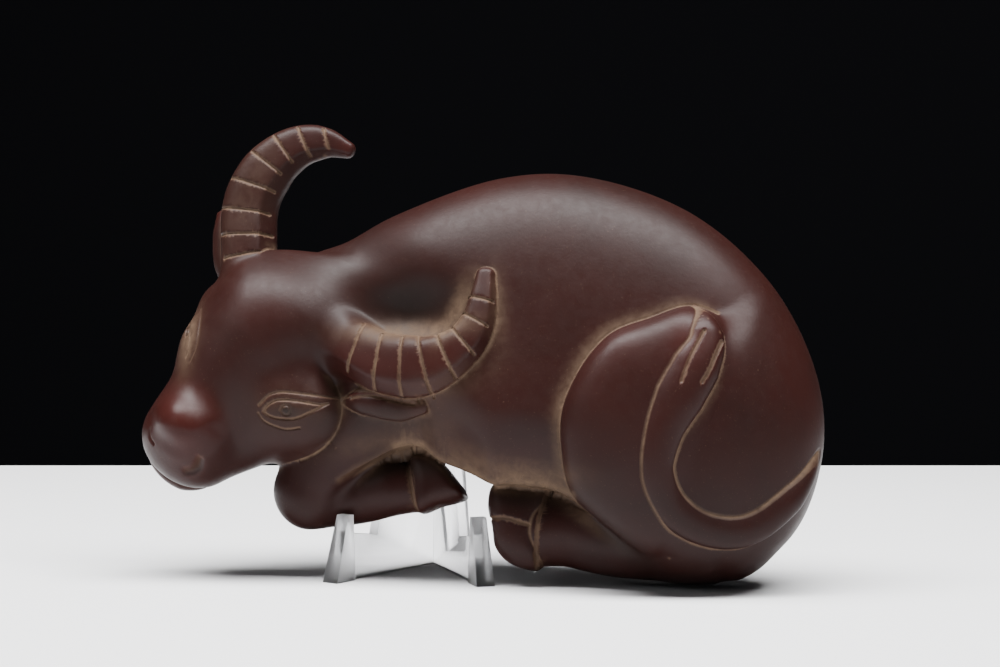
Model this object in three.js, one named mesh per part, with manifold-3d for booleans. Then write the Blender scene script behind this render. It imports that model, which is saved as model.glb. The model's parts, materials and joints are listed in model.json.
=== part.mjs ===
// Reclining water buffalo of red-brown clay, leaning on a small clear easel.
// Millimetres, Z up, front towards -Y. The origin is on the table, under the middle of the whole.
import * as THREE from 'three';
import Module from 'manifold-3d';
import { mergeVertices } from 'three/addons/utils/BufferGeometryUtils.js';

const wasm = await Module();
wasm.setup();

// Figure: u runs along the body, v up its flat back and w out of that back towards the viewer.
// A point is written [u, v, w] and an outline point [u, v].
const FIGURE_LEAN = THREE.MathUtils.degToRad(12);
const FIGURE_BACK = -25.2; // Y at which the plane of the back meets the table

// Trunk: an egg drawn by a few outline points, domed in front and flattened behind
const TRUNK = {
  centre: [38, 48],
  outline: [
    [-31, 73.5], [-18, 79.4], [-5.5, 86.1], [18.5, 94.5], [40, 94.8], [63.9, 86.4], [82.3, 70.5],
    [92.6, 51.5], [94.8, 33], [88.6, 14.2], [75.5, 3], [61.5, -1.9], [40, 2.6], [21, 18.5], [6, 27],
    [-11, 21], [-25, 24], [-36, 40], [-39, 58],
  ],
  rim: 7.5,
  slope: [0, 0],
  dome: 21.5,
  back: 9.5,
  fullness: 2.4,
};
const BACK_FULLNESS = 3.2;
const NECK_THINNING = { from: 6, to: -26, share: 0.34 };
// Hollow in the neck inside the curve of the near horn
const HOLLOW = { at: [4, 60.5, 31], size: [12, 8.5, 8.5], turn: -0.15, blend: 3 };

// Haunch: a flat pebble over the hind quarters, its rim sinking towards the rump
const HAUNCH = {
  centre: [64, 31],
  outline: [
    [67, 62], [59.4, 60.2], [47.1, 53], [41.2, 46.2], [37, 37], [36.6, 27], [41.2, 16.6],
    [50, 8], [61, 3.5], [76, 7], [85.5, 17], [88.5, 31], [85, 45], [77, 56],
  ],
  rim: 20,
  slope: [-0.22, 0.16],
  dome: 13.5,
  back: 20,
  fullness: 2.6,
};

// Hooves, as pebbles in the same way
const FORE_HOOF = {
  centre: [5.5, 22.5],
  outline: [
    [1.2, 15], [6, 16.3], [11.6, 17.9], [12.2, 19.6], [9.2, 23.6], [6, 28], [3, 30], [-0.8, 29.4], [0.2, 22],
  ],
  rim: 6,
  slope: [0, 0],
  dome: 6.6,
  back: 7,
  fullness: 3.4,
};
const HIND_HOOF = {
  centre: [25, 12],
  outline: [
    [19.5, 21.6], [18.1, 16.8], [19.3, 11.5], [20.3, 6.5], [24, 3], [30.4, 2], [31, 8], [32, 15], [32.4, 20.6], [26, 21],
  ],
  rim: 8,
  slope: [0, 0],
  dome: 9.6,
  back: 9,
  fullness: 3.2,
};
const HOOF_GROOVE = 0.7;

// Head: s runs from the poll to the muzzle, t across it towards the near horn, as [s, t, w]
const POLL = [-28, 63.6];
const HEAD_TURN = Math.atan2(-35.6, -25);
const CRANIUM = { at: [7, -0.5, 14], size: [15, 18.5, 14.5] };
const BROW = { at: [20, -3, 14.5], size: [13, 15.2, 12.5] };
const CHEEK = { at: [20, 10, 13.5], size: [13.5, 16, 13] };
const BRIDGE = { from: [14, -1.4, 16], to: [40, -1.9, 14.5], wide: 13.2, narrow: 11.3 };
const CHIN = { from: [20, 12, 11], to: [42, 2, 10.5], wide: 12, narrow: 8 };
const MUZZLE = { at: [42.8, -1.6, 14], size: [8.8, 11.2, 10.5] };
const LIP = { at: [43, -1.8, 8.5], reach: 11, from: -1.45, to: 1.2, thick: 1.5 };
const EYE = [2.7, 1.8, 1.7];
const EYE_SINK = 0.4;
const NEAR_EYE = [-27.1, 36.7];
const FAR_EYE = [-51.6, 55.4];
const HEAD_BLEND = 4;
const NECK_BLEND = 6; // the neck flows into the poll
const NECK_CLEAR = 0.5;
const JAW_CLEAR = 3; // and sinks under the jaw

// Horns: ring grooves at even steps over most of the length
const RINGS = 7;
const RINGED_SHARE = 0.83;
const RING_GROOVE = 0.65;
const RING_STEPS = [0, 0.16, 0.5, 0.84];
const TIP_STEPS = 5;

// Easel: two clear leaves that meet in an upright edge at the back
const LEAF_LENGTH = 41.3;
const LEAF_TURN = THREE.MathUtils.degToRad(26.5);
const SHEET = 2.6;
const EASEL_HEIGHT = 58;
const CORNER = 4;
const LIP_TOP = 15.5;
const LIP_SET_BACK = 4.8;
const LIP_THICK = 2;
const LIP_FLARE = 0.8;
const LEDGE_FRONT = 10.9;
const LEDGE_REAR = 9.7;
const UPRIGHT_FOOT = 24.8; // from the back edge to the upright's front edge, at the ledge
const POST_FOOT = 4.4;
const POST_TOP = 3.4;

const smooth = (a, b, k) => {
  const h = Math.max(k - Math.abs(a - b), 0) / k;
  return Math.min(a, b) - h * h * k / 4;
};
const smoothOff = (a, b, k) => -smooth(-a, b, k);

const place = (u, v, w) => new THREE.Vector3(u, -w, v);

// A point of the head's own frame in u, v, w
function headPoint(s, t, w) {
  const cos = Math.cos(HEAD_TURN);
  const sin = Math.sin(HEAD_TURN);
  return [POLL[0] + s * cos - t * sin, POLL[1] + s * sin + t * cos, w];
}

// How far a point lies across the head, from the far side to the near horn
const acrossHead = (p) => (p.z - POLL[1]) * Math.cos(HEAD_TURN) - (p.x - POLL[0]) * Math.sin(HEAD_TURN);

// Signed size of an ellipsoid whose first axis is turned by an angle in the u, v plane
function ellipsoid([u, v, w], [a, b, c], turn) {
  const cos = Math.cos(turn);
  const sin = Math.sin(turn);
  return (p) => {
    const x = (p.x - u) * cos + (p.z - v) * sin;
    const y = (p.z - v) * cos - (p.x - u) * sin;
    const z = -p.y - w;
    const near = Math.hypot(x / a, y / b, z / c);
    const slope = Math.hypot(x / a / a, y / b / b, z / c / c);
    return slope < 1e-9 ? -Math.min(a, b, c) : near * (near - 1) / slope;
  };
}

// A rounded cone between two points
function cone(from, to, wide, narrow) {
  const a = place(...from);
  const d = place(...to).sub(a);
  return (p) => {
    const q = p.clone().sub(a);
    const t = THREE.MathUtils.clamp(q.dot(d) / d.lengthSq(), 0, 1);
    return q.addScaledVector(d, -t).length() - THREE.MathUtils.lerp(wide, narrow, t);
  };
}

// The reach of a smooth closed outline from its centre, by angle
function reachOf([cu, cv], outline) {
  const rimCurve = new THREE.CatmullRomCurve3(outline.map(([u, v]) => place(u - cu, v - cv, 0)), true, 'catmullrom');
  const reach = rimCurve.getPoints(360).map((q) => [Math.atan2(q.z, q.x), Math.hypot(q.x, q.z)]);
  reach.sort((a, b) => a[0] - b[0]);
  const turn = 2 * Math.PI;
  return (angle) => {
    const i = Math.max(reach.findIndex((r) => r[0] >= angle), 0);
    const before = reach[(i + reach.length - 1) % reach.length];
    const span = (reach[i][0] - before[0] + turn) % turn;
    const part = span > 0 ? ((angle - before[0] + turn) % turn) / span : 0;
    return THREE.MathUtils.lerp(before[1], reach[i][1], part);
  };
}

// A pebble: a closed outline about a centre, domed to the front and flatter behind
function pebble({ centre: [cu, cv], outline, rim, slope, dome, back, fullness }) {
  const radius = reachOf([cu, cv], outline);
  return (p) => {
    const x = p.x - cu;
    const y = p.z - cv;
    const r = radius(Math.atan2(y, x));
    const flat = Math.hypot(x, y) / r;
    const z = -p.y - rim - slope[0] * x - slope[1] * y;
    const deep = z > 0 ? z / dome : -z / back;
    const power = z > 0 ? fullness : BACK_FULLNESS;
    return ((flat ** power + deep ** power) ** (1 / power) - 1) * Math.min(dome, r);
  };
}

// The same pebble as a net of rings about its centre
function pebbleNet({ centre: [cu, cv], outline, rim, slope, dome, back, fullness }, sides, rings) {
  const radius = reachOf([cu, cv], outline);
  const net = new THREE.SphereGeometry(1, sides, rings);
  const spot = net.attributes.position;
  for (let i = 0; i < spot.count; i += 1) {
    const q = new THREE.Vector3().fromBufferAttribute(spot, i);
    const power = q.y > 0 ? fullness : BACK_FULLNESS;
    const angle = Math.atan2(-q.z, q.x);
    const flat = Math.hypot(q.x, q.z) ** (2 / power) * radius(angle);
    const x = flat * Math.cos(angle);
    const y = flat * Math.sin(angle);
    const deep = Math.abs(q.y) ** (2 / power) * (q.y > 0 ? dome : -back);
    const spotted = place(cu + x, cv + y, rim + slope[0] * x + slope[1] * y + deep);
    spot.setXYZ(i, spotted.x, spotted.y, spotted.z);
  }
  return net;
}

// The depth at which a form's front surface stands over a point of the u, v plane
function frontOf(form, u, v) {
  let w = 50;
  while (w > 0 && form(place(u, v, w)) > 0) w -= 0.25;
  return w;
}

// Directions at a station of a path: along it, across it and out towards the viewer
function stationOf(path, along) {
  const ahead = path.getTangentAt(along);
  const across = new THREE.Vector3().crossVectors(new THREE.Vector3(0, -1, 0), ahead).normalize();
  const out = new THREE.Vector3().crossVectors(ahead, across).normalize();
  return { start: path.getPointAt(along), ahead, across, out };
}

// A sphere's net of rings along a path: even rings tilt round each end, the others stand at stations
function ringNet(path, sides, stations, capRings, vertexOf) {
  const rings = 2 * capRings + stations.length - 1;
  const net = new THREE.SphereGeometry(1, sides, rings);
  const spot = net.attributes.position;
  for (let i = 0; i < spot.count; i += 1) {
    const q = new THREE.Vector3().fromBufferAttribute(spot, i);
    const ring = Math.round(Math.acos(THREE.MathUtils.clamp(q.y, -1, 1)) / Math.PI * rings);
    const station = THREE.MathUtils.clamp(ring - capRings, 0, stations.length - 1);
    const tilt = THREE.MathUtils.clamp(ring / capRings, 0, 1)
      + THREE.MathUtils.clamp((ring - rings + capRings) / capRings, 0, 1);
    const frame = stationOf(path, stations[station]);
    const spin = Math.atan2(q.z, q.x);
    const vertex = vertexOf(frame, stations[station], tilt * Math.PI / 2, spin);
    spot.setXYZ(i, vertex.x, vertex.y, vertex.z);
  }
  return net;
}

const evenly = (count) => Array.from({ length: count + 1 }, (_, i) => i / count);

// A skin pulled over a form from a spine inside it
function skin(form, points, sides, count, capRings) {
  const spine = new THREE.CatmullRomCurve3(points.map((q) => place(...q)), false, 'centripetal');
  return ringNet(spine, sides, evenly(count), capRings, ({ start, ahead, across, out }, along, tilt, spin) => {
    const ray = ahead.multiplyScalar(-Math.cos(tilt));
    ray.addScaledVector(across, Math.sin(tilt) * Math.cos(spin));
    ray.addScaledVector(out, Math.sin(tilt) * Math.sin(spin));
    let inside = 0;
    let outside = 1;
    while (outside < 90 && form(start.clone().addScaledVector(ray, outside)) < 0) {
      inside = outside;
      outside += 1;
    }
    for (let k = 0; k < 14; k += 1) {
      const middle = (inside + outside) / 2;
      if (form(start.clone().addScaledVector(ray, middle)) < 0) inside = middle;
      else outside = middle;
    }
    return start.addScaledVector(ray, inside);
  });
}

// A rounded limb along a path, with its half-width across the path and half-depth out of it
function limb(points, width, depth, sides, stations, capRings = 2) {
  const path = new THREE.CatmullRomCurve3(points.map((q) => place(...q)), false, 'centripetal');
  return ringNet(path, sides, stations, capRings, ({ start, ahead, across, out }, along, tilt, spin) => {
    start.addScaledVector(ahead, -Math.cos(tilt) * Math.min(width(along), depth(along)));
    start.addScaledVector(across, Math.sin(tilt) * Math.cos(spin) * width(along));
    return start.addScaledVector(out, Math.sin(tilt) * Math.sin(spin) * depth(along));
  });
}

// A value that runs through evenly spaced sizes along a path
function through(...sizes) {
  return (along) => {
    const at = along * (sizes.length - 1);
    const i = Math.min(Math.floor(at), sizes.length - 2);
    return THREE.MathUtils.lerp(sizes[i], sizes[i + 1], at - i);
  };
}

function solid(geometry) {
  geometry.deleteAttribute('normal');
  geometry.deleteAttribute('uv');
  const merged = mergeVertices(geometry, 1e-4);
  return new wasm.Manifold(new wasm.Mesh({
    numProp: 3,
    vertProperties: new Float32Array(merged.attributes.position.array),
    triVerts: new Uint32Array(merged.index.array),
  }));
}

const joined = (geometries) => geometries.map(solid).reduce((all, next) => all.add(next));

function meshOf(manifold, material, name) {
  const { vertProperties, triVerts } = manifold.getMesh();
  const geometry = new THREE.BufferGeometry();
  geometry.setAttribute('position', new THREE.BufferAttribute(vertProperties, 3));
  geometry.setIndex(new THREE.BufferAttribute(triVerts, 1));
  geometry.computeVertexNormals();
  const mesh = new THREE.Mesh(geometry, material);
  mesh.name = name;
  return mesh;
}

// Body: the trunk's skin runs on into the neck, with head and haunch laid crisply over it
const egg = pebble(TRUNK);
const trunk = (p) => {
  const thin = NECK_THINNING.share * THREE.MathUtils.smoothstep(-p.x, -NECK_THINNING.from, -NECK_THINNING.to);
  const rimPlane = -TRUNK.rim;
  const spread = p.y < rimPlane ? rimPlane + (p.y - rimPlane) / (1 - thin) : p.y;
  return egg(new THREE.Vector3(p.x, spread, p.z));
};
const haunch = pebble(HAUNCH);
const cranium = ellipsoid(headPoint(...CRANIUM.at), CRANIUM.size, HEAD_TURN);
const brow = ellipsoid(headPoint(...BROW.at), BROW.size, HEAD_TURN);
const cheek = ellipsoid(headPoint(...CHEEK.at), CHEEK.size, HEAD_TURN);
const bridge = cone(headPoint(...BRIDGE.from), headPoint(...BRIDGE.to), BRIDGE.wide, BRIDGE.narrow);
const chin = cone(headPoint(...CHIN.from), headPoint(...CHIN.to), CHIN.wide, CHIN.narrow);
const muzzle = ellipsoid(headPoint(...MUZZLE.at), MUZZLE.size, HEAD_TURN);
const hollow = ellipsoid(HOLLOW.at, HOLLOW.size, HOLLOW.turn);
const head = (p) => {
  const skull = smooth(cranium(p), smooth(brow(p), cheek(p), HEAD_BLEND), HEAD_BLEND);
  const nose = smooth(smooth(bridge(p), chin(p), HEAD_BLEND), muzzle(p), HEAD_BLEND);
  return smoothOff(smooth(skull, nose, HEAD_BLEND), hollow(p), HOLLOW.blend);
};
// The trunk rises into the poll, and passes under the jaw
const trunkAndNeck = (p) => {
  const under = THREE.MathUtils.lerp(NECK_CLEAR, JAW_CLEAR, THREE.MathUtils.smoothstep(acrossHead(p), 15, 21));
  return smoothOff(smooth(trunk(p), head(p) + under, NECK_BLEND + NECK_CLEAR - under), hollow(p), HOLLOW.blend);
};
const body = (p) => Math.min(trunkAndNeck(p), head(p), haunch(p));
const trunkSkin = skin(trunkAndNeck, [
  headPoint(24, 0, 12), [-24, 54, 13], [-5, 55, 13], [20, 54, 13], [50, 46, 13], [72, 42, 13],
], 30, 24, 6);
const headSkin = skin(head, [headPoint(5, 0, 13), headPoint(20, 2, 13), headPoint(42, -0.5, 12.5)], 24, 11, 6);

// Path points given as [u, v, sink] lie on the body's front, sunk into it by the third value
const laid = (points) => points.map(([u, v, sink]) => [u, v, frontOf(body, u, v) - sink]);

// Tail: over the rump, low across the haunch and up to its brush
const tail = limb(
  laid([
    [91, 29, 4], [85.2, 17.2, 2.6], [77, 11.4, 1.6], [69, 10.8, 1.3], [61.6, 15.4, 1.2], [59, 26, 1], [61, 36, 1],
    [66, 44, 1.2], [69.6, 51.5, 1.2], [67.2, 60, 1.4],
  ]),
  through(2.6, 4.4, 4, 3.6, 4.2, 4.2, 3.9, 4.8, 6, 1),
  through(2.6, 3.4, 3, 3, 3, 3, 3, 3.5, 3.8, 1.2),
  10, evenly(26), 3,
);

// Folded legs: upper arm, cannon and hoof in front, cannon and hoof behind
const legs = [
  limb([[-18, 32.6, 6], [-26, 18.9, 5]], through(8.2, 8.1), through(8, 7.6), 14, evenly(3), 4),
  limb(
    [[-25.7, 18.9, 4.6], [-20, 19, 3], [-14, 19.5, 2.4], [-5, 21.4, 4.2], [4, 22.6, 5]],
    through(8.1, 7.5, 7.1, 7, 6.8),
    through(7.6, 6.9, 6.6, 7.4, 6.4),
    14, evenly(8), 4,
  ),
  pebbleNet(FORE_HOOF, 18, 10),
  limb(
    [[31, 11.5, 8], [38, 11.6, 8.5], [50, 9, 9.5], [62, 8.2, 10]],
    through(8.6, 9, 8.4, 8.4),
    through(9, 9.5, 10, 10),
    16, evenly(7), 3,
  ),
  pebbleNet(HIND_HOOF, 18, 10),
];

// Horns: the free one stands above the poll, the near one lies on the neck
const ringStations = [];
for (let ring = 0; ring < RINGS; ring += 1) {
  for (const step of RING_STEPS) ringStations.push((ring + step) / RINGS * RINGED_SHARE);
}
for (let step = 0; step <= TIP_STEPS; step += 1) {
  ringStations.push(THREE.MathUtils.lerp(RINGED_SHARE, 1, step / TIP_STEPS));
}
const ringed = (size) => (along) => {
  const phase = along / RINGED_SHARE * RINGS;
  const inGroove = Math.abs(phase - Math.round(phase)) < 0.01 && along < RINGED_SHARE + 0.01;
  return size(along) - (inGroove ? RING_GROOVE : 0);
};
const freeHorn = limb(
  [
    [-41, 73, 13], [-41.6, 80.5, 12.5], [-41.8, 86, 12], [-40.4, 91.6, 12], [-36.2, 98, 12], [-30, 102.2, 12],
    [-23.6, 103, 12], [-17.4, 100.9, 12],
  ],
  ringed(through(6.8, 6.6, 6.7, 6.5, 5.6, 4.2, 0.9)),
  ringed(through(5.8, 5.6, 5.4, 5, 4.4, 3.4, 0.9)),
  10, ringStations,
);
const nearHorn = limb(
  laid([
    [-11, 50.5, 0], [-4.6, 47.3, 0], [2, 46, 0], [9, 47.8, 0], [15, 53, 0], [18, 59, 0], [19, 65, 0],
    [18.7, 70, 0],
  ]),
  ringed(through(6.4, 6.9, 6.9, 6.6, 5.2, 3.6, 0.9)),
  ringed(through(4.8, 5, 5, 4.6, 4, 3, 1)),
  10, ringStations,
);

// Ears: the near one below its horn, the far one a sliver behind the free horn
const nearEar = limb(
  laid([[-13, 38.8, 1], [-6, 38, -0.6], [0, 37.4, -0.6], [4.4, 37.8, 0]]),
  through(1.6, 3.4, 3.4, 0.7),
  through(2, 2.6, 2.6, 1),
  10, evenly(9), 2,
);
const farEar = limb(
  [[-43, 69, 9], [-47.6, 79, 7.5], [-50, 88, 6]],
  through(3, 3.2, 0.8),
  through(3, 2.6, 0.8),
  8, evenly(6), 2,
);

// Eyes: a ball between two lids
function eye([u, v], turn) {
  const w = frontOf(body, u, v);
  const ball = new THREE.SphereGeometry(1, 10, 8).scale(EYE[0], EYE[2], EYE[1]).rotateY(-turn);
  const spot = place(u, v, w - EYE_SINK);
  return ball.translate(spot.x, spot.y, spot.z);
}
const lid = (points) => limb(laid(points), through(0.5, 0.8, 0.5), through(0.6, 0.9, 0.6), 6, evenly(8), 1);
const face = [
  eye(NEAR_EYE, 0.13),
  lid([[-32.5, 36.6, 0], [-29.5, 39.4, 0], [-25, 40, 0], [-19, 39.4, 0]]),
  lid([[-32.5, 36.6, 0], [-29, 34.6, 0], [-25, 34.6, 0], [-19.5, 38.6, 0]]),
  eye(FAR_EYE, -1.6),
  lid([[-50.2, 62, 0.2], [-49, 57.5, 0], [-48.8, 52.5, 0], [-50, 48, 0.2]]),
];

// Lower lip: a thin rim that shows beyond the muzzle
const lipPoint = (angle) => headPoint(
  LIP.at[0] + LIP.reach * Math.cos(angle) * MUZZLE.size[0] / MUZZLE.size[1],
  LIP.at[1] + LIP.reach * Math.sin(angle),
  LIP.at[2],
);
const lip = limb(
  evenly(6).map((part) => lipPoint(THREE.MathUtils.lerp(LIP.from, LIP.to, part))),
  through(1, LIP.thick, LIP.thick, 1),
  through(2, 2.5, 2.5, 2),
  10, evenly(10), 2,
);

let buffalo = joined([
  trunkSkin, headSkin, pebbleNet(HAUNCH, 30, 12), tail, ...legs, freeHorn, nearHorn, nearEar, farEar, ...face, lip,
]);

// Incised lines: nostrils, hoof edges and cleft, strands of the brush
const incise = (points, size) => {
  const line = limb(laid(points), through(size * 0.5, size, size * 0.5), () => size, 6, evenly(6), 1);
  buffalo = buffalo.subtract(solid(line));
};
incise([[-51.4, 23.2, 0], [-49, 23.4, 0], [-47.2, 25, 0]], 0.8);
incise([[-60.4, 33.4, 0], [-60, 31, 0], [-59.4, 29.2, 0]], 0.7);
incise([[69.1, 55, -2.4], [66.6, 48.4, -2.2], [64.6, 42, -1.7]], 0.7);
incise([[72.2, 53.5, -2.2], [71, 48.4, -2.2], [68.4, 43, -1.9]], 0.7);
const hoofLine = (points, w) => {
  const line = limb(points.map(([u, v]) => [u, v, w]), () => HOOF_GROOVE, () => HOOF_GROOVE, 6, evenly(6), 1);
  buffalo = buffalo.subtract(solid(line));
};
hoofLine([[-1.5, 28.5], [0.6, 23], [2, 18.2], [2.4, 14]], 12.8);
hoofLine([[32.6, 21], [31.4, 14.8], [30.6, 8.6], [30.2, 1]], 17.6);
hoofLine([[17, 14], [21, 13.2], [28.9, 12.2]], 17.6);

// The back is rubbed flat, and the rump has a small flat to stand on
const slab = new THREE.BoxGeometry(400, 80, 400).translate(30, 40, 0);
buffalo = buffalo.subtract(solid(slab));
const table = new THREE.BoxGeometry(400, 400, 40).translate(30, -FIGURE_BACK, -20).rotateX(FIGURE_LEAN);
buffalo = buffalo.subtract(solid(table));

const clay = new THREE.MeshStandardMaterial({ color: 0x583b37, roughness: 0.45, metalness: 0 });
const figure = meshOf(buffalo, clay, 'buffalo_figure');
figure.rotation.x = -FIGURE_LEAN;
figure.position.y = FIGURE_BACK;

// Easel leaf: a tall upright at the back, a ledge and a lip, cut from one sheet
const lean = Math.atan(Math.tan(FIGURE_LEAN) / Math.cos(LEAF_TURN));
const uprightTop = UPRIGHT_FOOT - (EASEL_HEIGHT - LEDGE_REAR) * Math.tan(lean);
const lipFront = LEAF_LENGTH - LIP_SET_BACK;
const profile = new THREE.Shape();
profile.moveTo(0, 0);
profile.lineTo(LEAF_LENGTH, 0);
profile.lineTo(lipFront, LIP_TOP);
profile.lineTo(lipFront - LIP_THICK, LIP_TOP);
profile.lineTo(lipFront - LIP_THICK - LIP_FLARE, LEDGE_FRONT);
profile.lineTo(UPRIGHT_FOOT, LEDGE_REAR);
profile.lineTo(uprightTop + CORNER * Math.tan(lean), EASEL_HEIGHT - CORNER);
profile.quadraticCurveTo(uprightTop, EASEL_HEIGHT, uprightTop - CORNER, EASEL_HEIGHT);
profile.lineTo(0, EASEL_HEIGHT);
profile.closePath();

function leaf(side) {
  const plate = new THREE.ExtrudeGeometry(profile, { depth: SHEET, bevelEnabled: false, curveSegments: 4 });
  plate.translate(0, 0, -SHEET / 2).rotateX(Math.PI / 2);
  plate.rotateZ(-Math.PI / 2 + side * LEAF_TURN);
  return plate;
}

// The lip ends in a thicker post that tapers upwards
function post(side) {
  const block = new THREE.BoxGeometry(1, 1, 1).translate(0, 0, 0.5);
  const spot = block.attributes.position;
  for (let i = 0; i < spot.count; i += 1) {
    const up = spot.getZ(i);
    const ahead = spot.getX(i) > 0 ? 1 : 0;
    const backEdge = lipFront - LIP_THICK;
    const frontEdge = THREE.MathUtils.lerp(LEAF_LENGTH, lipFront, up);
    const thick = THREE.MathUtils.lerp(POST_FOOT, POST_TOP, up);
    spot.setXYZ(i, ahead ? frontEdge : backEdge, Math.sign(spot.getY(i)) * thick / 2, up * LIP_TOP);
  }
  return block.rotateZ(-Math.PI / 2 + side * LEAF_TURN);
}
const spineEdge = new THREE.CylinderGeometry(SHEET / 2, SHEET / 2, EASEL_HEIGHT, 16);
spineEdge.rotateX(Math.PI / 2).translate(0, 0, EASEL_HEIGHT / 2);

const clear = new THREE.MeshStandardMaterial({
  color: 0xf4f6f8, roughness: 0.05, metalness: 0, transparent: true, opacity: 0.3,
});
const easel = meshOf(joined([leaf(-1), leaf(1), post(-1), post(1), spineEdge]), clear, 'display_easel');

const group = new THREE.Group();
group.add(figure, easel);
group.updateMatrixWorld(true);
const middle = new THREE.Box3().setFromObject(group, true).getCenter(new THREE.Vector3());
group.position.set(-middle.x, -middle.y, 0);
export default group;
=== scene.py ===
"""A reclining water buffalo of red-brown clay on a small clear easel."""
import json
import math

import bpy
import numpy as np
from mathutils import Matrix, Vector

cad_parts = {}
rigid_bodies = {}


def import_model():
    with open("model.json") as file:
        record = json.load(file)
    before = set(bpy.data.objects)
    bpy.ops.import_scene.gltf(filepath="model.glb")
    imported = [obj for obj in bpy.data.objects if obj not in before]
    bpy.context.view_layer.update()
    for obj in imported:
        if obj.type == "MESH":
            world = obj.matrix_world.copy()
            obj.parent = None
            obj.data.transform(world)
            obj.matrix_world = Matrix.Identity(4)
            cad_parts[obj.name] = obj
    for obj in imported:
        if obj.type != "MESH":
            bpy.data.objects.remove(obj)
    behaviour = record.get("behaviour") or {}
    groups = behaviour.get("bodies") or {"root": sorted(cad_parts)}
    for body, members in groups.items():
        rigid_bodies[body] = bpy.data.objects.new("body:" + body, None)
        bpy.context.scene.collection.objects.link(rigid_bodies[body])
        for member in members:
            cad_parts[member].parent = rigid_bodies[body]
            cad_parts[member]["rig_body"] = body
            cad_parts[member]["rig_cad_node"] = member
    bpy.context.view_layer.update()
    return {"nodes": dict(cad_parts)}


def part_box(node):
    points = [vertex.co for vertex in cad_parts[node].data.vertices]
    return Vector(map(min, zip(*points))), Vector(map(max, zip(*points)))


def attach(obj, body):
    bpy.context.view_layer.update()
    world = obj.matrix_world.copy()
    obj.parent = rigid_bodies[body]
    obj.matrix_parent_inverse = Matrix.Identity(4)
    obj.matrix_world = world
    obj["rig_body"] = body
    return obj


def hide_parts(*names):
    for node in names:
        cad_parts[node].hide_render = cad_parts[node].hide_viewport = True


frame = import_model()

# Buffalo figure: one solid of dense red-brown stoneware clay, pressed, carved on the front and fired.
# It is flat behind and leans back on the easel. Its own frame is in millimetres: u runs along the body from
# head to rump, v up the flat back, and w out of the back towards the viewer. A place is written (u, v, w).
LEAN = math.radians(12)
BACK_LINE = -25.2  # the plane of the back meets the table this far in front of the easel's upright edge
EASEL_SHEET = 2.6
easel_low, easel_high = (np.array(corner) * 1000 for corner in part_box("display_easel"))
EASEL_EDGE = np.array([(easel_low[0] + easel_high[0]) / 2, easel_high[1] - EASEL_SHEET / 2, 0])
CLAY_ORIGIN = EASEL_EDGE + [0, BACK_LINE, 0]


def into_clay(metres):
    x, y, z = (metres * 1000 - CLAY_ORIGIN).T
    v = y * math.sin(LEAN) + z * math.cos(LEAN)
    w = z * math.sin(LEAN) - y * math.cos(LEAN)
    return np.stack([x, v, w], axis=1)


def out_of_clay(places):
    u, v, w = places.T
    y = v * math.sin(LEAN) - w * math.cos(LEAN)
    z = v * math.cos(LEAN) + w * math.sin(LEAN)
    return (np.stack([u, y, z], axis=1) + CLAY_ORIGIN) / 1000


# A form is a function of places that is negative inside the clay and grows about a millimetre per millimetre
# outside it. Two forms run together, or one is pared off the other, over a soft fillet.
def ramp(value, low, high):
    share = np.clip((value - low) / (high - low), 0, 1)
    return share * share * (3 - 2 * share)


def join(a, b, fillet):
    near = np.maximum(fillet - np.abs(a - b), 0) / fillet
    return np.minimum(a, b) - near * near * fillet / 4


def pare(a, b, fillet):
    return -join(-a, b, fillet)


def ball(p, at, size, turn=0.0):
    du, dv, z = (p - at).T
    x = du * math.cos(turn) + dv * math.sin(turn)
    y = dv * math.cos(turn) - du * math.sin(turn)
    a, b, c = size
    near = np.sqrt((x / a) ** 2 + (y / b) ** 2 + (z / c) ** 2)
    slope = np.sqrt((x / a / a) ** 2 + (y / b / b) ** 2 + (z / c / c) ** 2)
    return near * (near - 1) / np.maximum(slope, 1e-6)


def cone(p, start, end, wide, narrow):
    start, end = np.array(start), np.array(end)
    run = end - start
    share = np.clip((p - start) @ run / (run @ run), 0, 1)
    off = p - start - share[:, None] * run
    return np.sqrt((off * off).sum(1)) - (wide + (narrow - wide) * share)


# A pebble is a smooth closed outline round a centre, domed to the front and flatter behind.
BACK_FULLNESS = 3.2


def outline_reach(centre, outline):
    corners = np.array(outline, float) - centre
    steps = np.linspace(0, 1, 60, endpoint=False)[:, None]
    stretches = []
    for i in range(len(corners)):
        a, b, c, d = (corners[(i + k) % len(corners)] for k in (-1, 0, 1, 2))
        bend = (2 * a - 5 * b + 4 * c - d) * steps**2 + (3 * b - a - 3 * c + d) * steps**3
        stretches.append(b + ((c - a) * steps + bend) / 2)
    edge = np.concatenate(stretches)
    angle = np.arctan2(edge[:, 1], edge[:, 0])
    order = np.argsort(angle)
    return angle[order], np.hypot(*edge.T)[order]


def pebble(centre, outline, rim, slope, dome, back, fullness):
    angles, reaches = outline_reach(centre, outline)

    def form(p):
        x, y = p[:, 0] - centre[0], p[:, 1] - centre[1]
        reach = np.interp(np.arctan2(y, x), angles, reaches, period=2 * math.pi)
        z = p[:, 2] - rim - slope[0] * x - slope[1] * y
        power = np.where(z > 0, fullness, BACK_FULLNESS)
        deep = np.where(z > 0, z / dome, -z / back)
        size = (np.hypot(x, y) / reach) ** power + deep**power
        return (size ** (1 / power) - 1) * np.minimum(dome, reach)

    return form


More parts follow.
